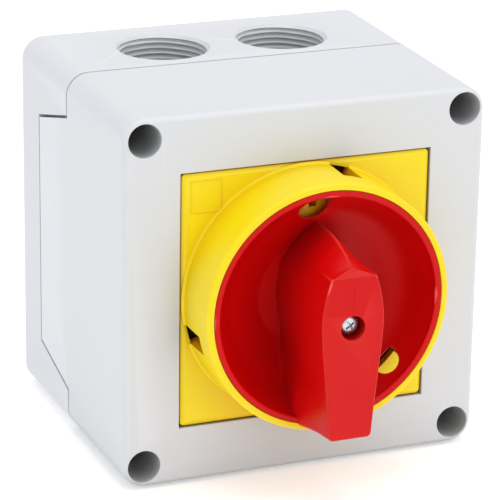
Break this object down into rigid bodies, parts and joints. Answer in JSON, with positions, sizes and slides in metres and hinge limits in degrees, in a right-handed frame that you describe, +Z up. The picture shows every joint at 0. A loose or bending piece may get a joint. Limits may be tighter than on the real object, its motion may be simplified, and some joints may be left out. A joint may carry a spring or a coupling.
{
  "type": "rotary isolator switch",
  "caption": "Square wall box with a rotary isolator inside, worked by a red padlockable dish handle in a yellow collar, with threaded cable entries above and below.",
  "frame": {"origin": "centre of the wall face of the box", "axes": "+Z up, +Y into the wall, the handle faces -Y and turns about the Y axis"},
  "size_m": [0.1, 0.1118, 0.1],
  "materials": {
    "box_grey": "fine textured light grey moulding",
    "plate_yellow": "satin yellow moulding",
    "handle_red": "satin red moulding",
    "seal_rubber": "black rubber",
    "zinc_steel": "zinc plated steel",
    "switch_grey": "dark grey glass-filled moulding",
    "rotor_white": "natural white moulding",
    "contact_copper": "bright copper",
    "clamp_brass": "brass",
    "spring_steel": "drawn spring wire"
  },
  "bodies": {
    "enclosure": {"base_box": "box_grey", "lid": "box_grey", "lid_gasket": "seal_rubber", "escutcheon_gasket": "seal_rubber", "lid_screw_1": "zinc_steel", "lid_screw_2": "zinc_steel", "lid_screw_3": "zinc_steel", "lid_screw_4": "zinc_steel", "escutcheon": "plate_yellow", "shaft_seal": "seal_rubber", "switch_base": "switch_grey", "switch_cover": "switch_grey", "fixing_screw_1": "zinc_steel", "fixing_screw_2": "zinc_steel", "index_spring_1": "spring_steel", "index_spring_2": "spring_steel", "earth_terminal": "clamp_brass", "earth_screw_1": "zinc_steel", "earth_screw_2": "zinc_steel", "line_terminal_1": "clamp_brass", "line_terminal_2": "clamp_brass", "line_terminal_3": "clamp_brass", "line_terminal_4": "clamp_brass", "line_screw_1": "zinc_steel", "line_screw_2": "zinc_steel", "line_screw_3": "zinc_steel", "line_screw_4": "zinc_steel", "load_terminal_1": "clamp_brass", "load_terminal_2": "clamp_brass", "load_terminal_3": "clamp_brass", "load_terminal_4": "clamp_brass", "load_screw_1": "zinc_steel", "load_screw_2": "zinc_steel", "load_screw_3": "zinc_steel", "load_screw_4": "zinc_steel"},
    "handle": {"dish_handle": "handle_red", "handle_screw": "zinc_steel", "drive_shaft": "zinc_steel", "cam_rotor": "rotor_white"},
    "carrier": {"contact_carrier": "rotor_white", "contact_bridge_1": "contact_copper", "contact_bridge_2": "contact_copper", "contact_bridge_3": "contact_copper", "contact_bridge_4": "contact_copper", "contact_spring_1": "spring_steel", "contact_spring_2": "spring_steel", "contact_spring_3": "spring_steel", "contact_spring_4": "spring_steel"}
  },
  "joints": [
    {"name": "handle_turn", "type": "hinge", "parent": "enclosure", "child": "handle", "pos_m": [0, -0.081, 0], "axis": [0, -1, 0], "range_deg": [0, 90]},
    {"name": "contact_slide", "type": "slide", "parent": "enclosure", "child": "carrier", "axis": [0, -1, 0], "range_m": [0, 0.004]}
  ],
  "couplings": [
    {"joint": "contact_slide", "follows": "handle_turn", "m_per_rad": 0.0025465}
  ]
}
